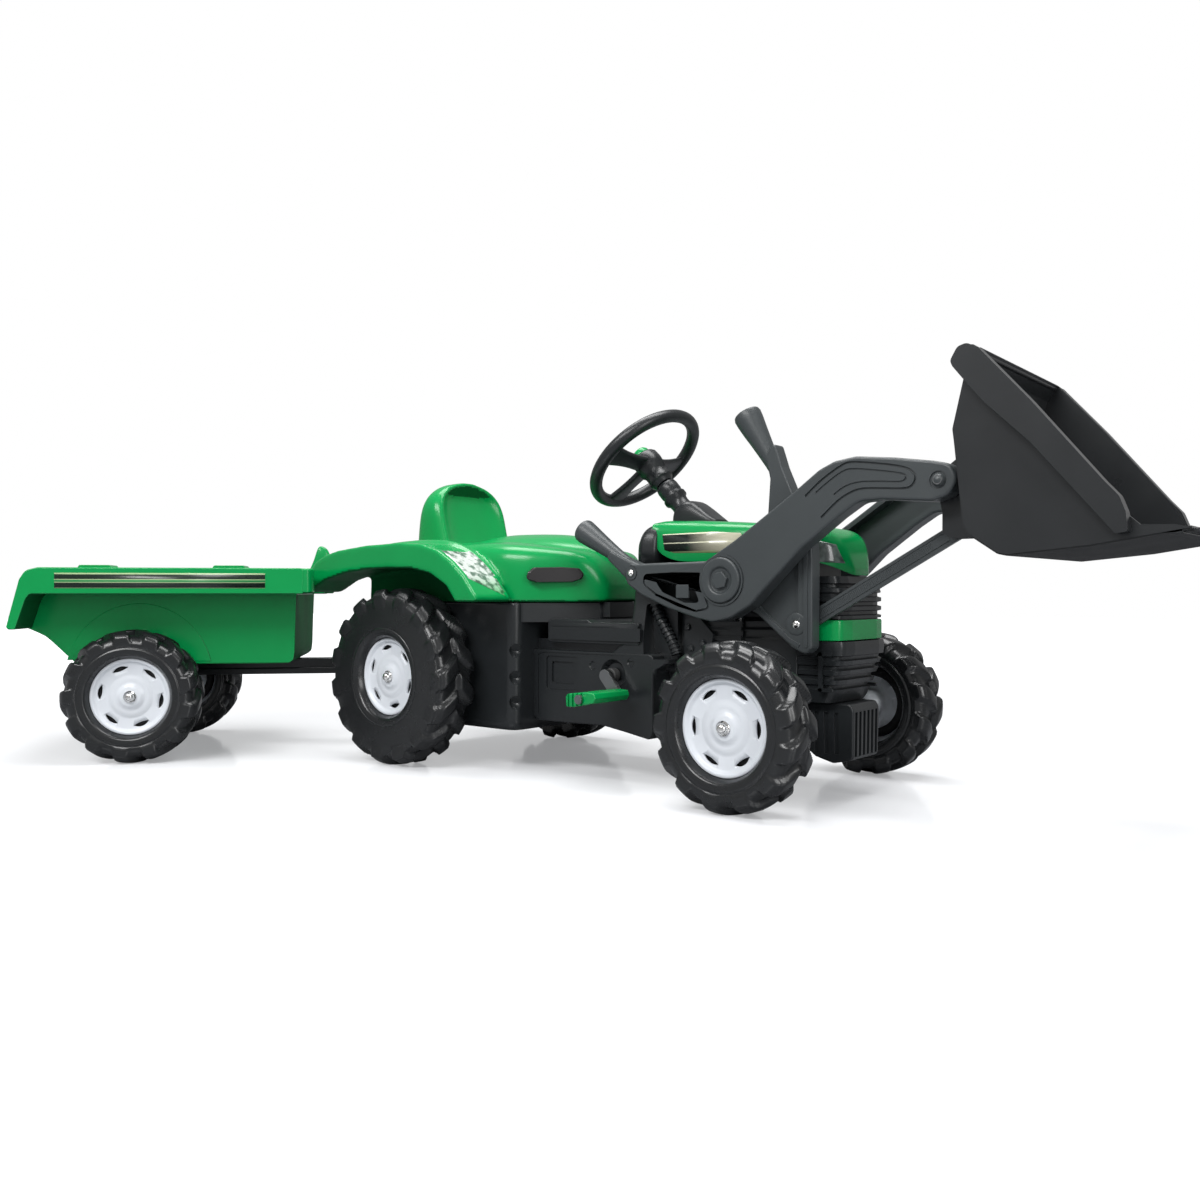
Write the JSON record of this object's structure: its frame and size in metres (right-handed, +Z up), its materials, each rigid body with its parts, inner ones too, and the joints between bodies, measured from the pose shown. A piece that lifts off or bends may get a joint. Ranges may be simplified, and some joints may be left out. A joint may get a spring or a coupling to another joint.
{
  "type": "pedal tractor with front loader and trailer",
  "caption": "Child's pedal tractor with a hand-worked front loader and bucket, chain drive to the rear wheels, steered front wheels and a small towed tipping-shape trailer.",
  "frame": {"origin": "bottom centre of the whole object's box, on the ground", "axes": "+X forward along the tractor, towards the bucket; +Y to the driver's left; +Z up"},
  "size_m": [2.0704, 0.9416, 0.5988],
  "materials": {
    "black_plastic": "satin charcoal black",
    "green_plastic": "glossy green",
    "white_plastic": "glossy white",
    "bucket_plastic": "glossy charcoal black",
    "tyre_plastic": "satin black blow-moulded",
    "seat_insert_plastic": "satin black",
    "steel_rod": "brushed bright steel",
    "bright_nut": "polished",
    "black_bush": "moulded"
  },
  "bodies": {
    "chassis": {"chassis_right_shell": "black_plastic", "chassis_left_shell": "black_plastic", "seat_shell": "green_plastic", "seat_side_inserts": "seat_insert_plastic", "hood": "green_plastic", "dash_cowl": "black_plastic", "front_grille": "black_plastic", "front_band": "green_plastic", "front_weight": "black_plastic", "front_axle_beam": "black_plastic", "rear_axle_bushes": "black_bush", "crank_bushes": "black_bush", "column_housing": "black_plastic", "hitch_bracket": "black_plastic", "hitch_pin": "steel_rod", "drive_chain": "steel_rod", "loader_pivot_shaft": "steel_rod", "pivot_washers": "black_plastic"},
    "steering": {"steering_wheel": "black_plastic", "steering_column": "steel_rod"},
    "horn": {"horn_button": "green_plastic"},
    "tie_rod": {"tie_rod": "steel_rod"},
    "right_knuckle": {"right_knuckle": "steel_rod", "front_right_nut": "bright_nut"},
    "left_knuckle": {"left_knuckle": "steel_rod", "front_left_nut": "bright_nut"},
    "front_right_wheel": {"front_right_tyre": "tyre_plastic", "front_right_rim": "white_plastic"},
    "front_left_wheel": {"front_left_tyre": "tyre_plastic", "front_left_rim": "white_plastic"},
    "rear_drive": {"rear_axle": "steel_rod", "rear_sprocket": "steel_rod", "rear_right_tyre": "tyre_plastic", "rear_right_rim": "white_plastic", "rear_left_tyre": "tyre_plastic", "rear_left_rim": "white_plastic", "rear_axle_nuts": "bright_nut"},
    "crank": {"crankset": "steel_rod", "chainring": "steel_rod"},
    "right_pedal": {"right_pedal": "green_plastic"},
    "left_pedal": {"left_pedal": "green_plastic"},
    "loader_arms": {"loader_arm_right": "black_plastic", "loader_arm_left": "black_plastic", "arm_cross_tube": "steel_rod", "lift_handle": "black_plastic", "handle_bolt": "bright_nut", "bucket_pivot_rod": "steel_rod"},
    "tilt_lever": {"tilt_lever": "black_plastic", "link_bolt": "bright_nut"},
    "link_bar": {"link_bar": "black_plastic"},
    "bucket": {"bucket": "bucket_plastic"},
    "trailer": {"trailer_tub": "green_plastic", "trailer_frame": "black_plastic", "trailer_axle": "steel_rod", "trailer_axle_nuts": "bright_nut"},
    "trailer_right_wheel": {"trailer_right_tyre": "tyre_plastic", "trailer_right_rim": "white_plastic"},
    "trailer_left_wheel": {"trailer_left_tyre": "tyre_plastic", "trailer_left_rim": "white_plastic"}
  },
  "joints": [
    {"name": "steering_turn", "type": "hinge", "parent": "chassis", "child": "steering", "pos_m": [0.17515, 0.21028, 0.524], "axis": [-0.6737, 0, 0.739], "range_deg": [-20, 20]},
    {"name": "horn_press", "type": "slide", "parent": "steering", "child": "horn", "axis": [0.6737, 0, -0.739], "range_m": [0, 0.003]},
    {"name": "tie_rod_slide", "type": "slide", "parent": "chassis", "child": "tie_rod", "axis": [0, 1, 0], "range_m": [-0.0314, 0.0314]},
    {"name": "right_kingpin_turn", "type": "hinge", "parent": "chassis", "child": "right_knuckle", "pos_m": [0.48315, 0.09028, 0.117], "axis": [0, 0, 1], "range_deg": [-24.2, 24.2]},
    {"name": "left_kingpin_turn", "type": "hinge", "parent": "chassis", "child": "left_knuckle", "pos_m": [0.48315, 0.33028, 0.117], "axis": [0, 0, 1], "range_deg": [-24.2, 24.2]},
    {"name": "front_right_wheel_spin", "type": "hinge", "parent": "right_knuckle", "child": "front_right_wheel", "pos_m": [0.48315, -0.00072, 0.117], "axis": [0, 1, 0], "continuous": true},
    {"name": "front_left_wheel_spin", "type": "hinge", "parent": "left_knuckle", "child": "front_left_wheel", "pos_m": [0.48315, 0.42128, 0.117], "axis": [0, 1, 0], "continuous": true},
    {"name": "rear_axle_spin", "type": "hinge", "parent": "chassis", "child": "rear_drive", "pos_m": [-0.19685, 0.21028, 0.1535], "axis": [0, 1, 0], "continuous": true},
    {"name": "crank_spin", "type": "hinge", "parent": "chassis", "child": "crank", "pos_m": [0.20015, 0.21028, 0.168], "axis": [0, 1, 0], "continuous": true},
    {"name": "right_pedal_spin", "type": "hinge", "parent": "crank", "child": "right_pedal", "pos_m": [0.22415, 0.02628, 0.139], "axis": [0, 1, 0], "continuous": true},
    {"name": "left_pedal_spin", "type": "hinge", "parent": "crank", "child": "left_pedal", "pos_m": [0.17615, 0.39428, 0.197], "axis": [0, 1, 0], "continuous": true},
    {"name": "loader_lift", "type": "hinge", "parent": "chassis", "child": "loader_arms", "pos_m": [0.42015, 0.21028, 0.317], "axis": [0, -1, 0], "range_deg": [-35, 15]},
    {"name": "bucket_tilt", "type": "hinge", "parent": "loader_arms", "child": "bucket", "pos_m": [0.74115, 0.21028, 0.44], "axis": [0, -1, 0], "range_deg": [-35, 6]},
    {"name": "tilt_lever_swing", "type": "hinge", "parent": "loader_arms", "child": "tilt_lever", "pos_m": [0.42015, 0.11528, 0.317], "axis": [0, -1, 0], "range_deg": [-15.75, 2.7]},
    {"name": "link_bar_swing", "type": "hinge", "parent": "tilt_lever", "child": "link_bar", "pos_m": [0.52215, 0.13428, 0.2545], "axis": [0, -1, 0], "range_deg": [-4.02, 23.45]},
    {"name": "trailer_turn", "type": "hinge", "parent": "chassis", "child": "trailer", "pos_m": [-0.39685, 0.21028, 0.145], "axis": [0, 0, 1], "range_deg": [-98.6, 1]},
    {"name": "trailer_right_wheel_spin", "type": "hinge", "parent": "trailer", "child": "trailer_right_wheel", "pos_m": [-0.57445, -0.29939, 0.117], "axis": [-0.7525, 0.6586, 0], "continuous": true},
    {"name": "trailer_left_wheel_spin", "type": "hinge", "parent": "trailer", "child": "trailer_left_wheel", "pos_m": [-0.87847, -0.03333, 0.117], "axis": [-0.7525, 0.6586, 0], "continuous": true}
  ],
  "couplings": [
    {"joint": "tie_rod_slide", "follows": "steering_turn", "m_per_rad": -0.08985},
    {"joint": "right_kingpin_turn", "follows": "steering_turn", "ratio": 1.202},
    {"joint": "left_kingpin_turn", "follows": "steering_turn", "ratio": 1.202},
    {"joint": "crank_spin", "follows": "rear_axle_spin", "ratio": 0.69},
    {"joint": "tilt_lever_swing", "follows": "bucket_tilt", "ratio": 0.45},
    {"joint": "link_bar_swing", "follows": "bucket_tilt", "ratio": -0.67}
  ]
}
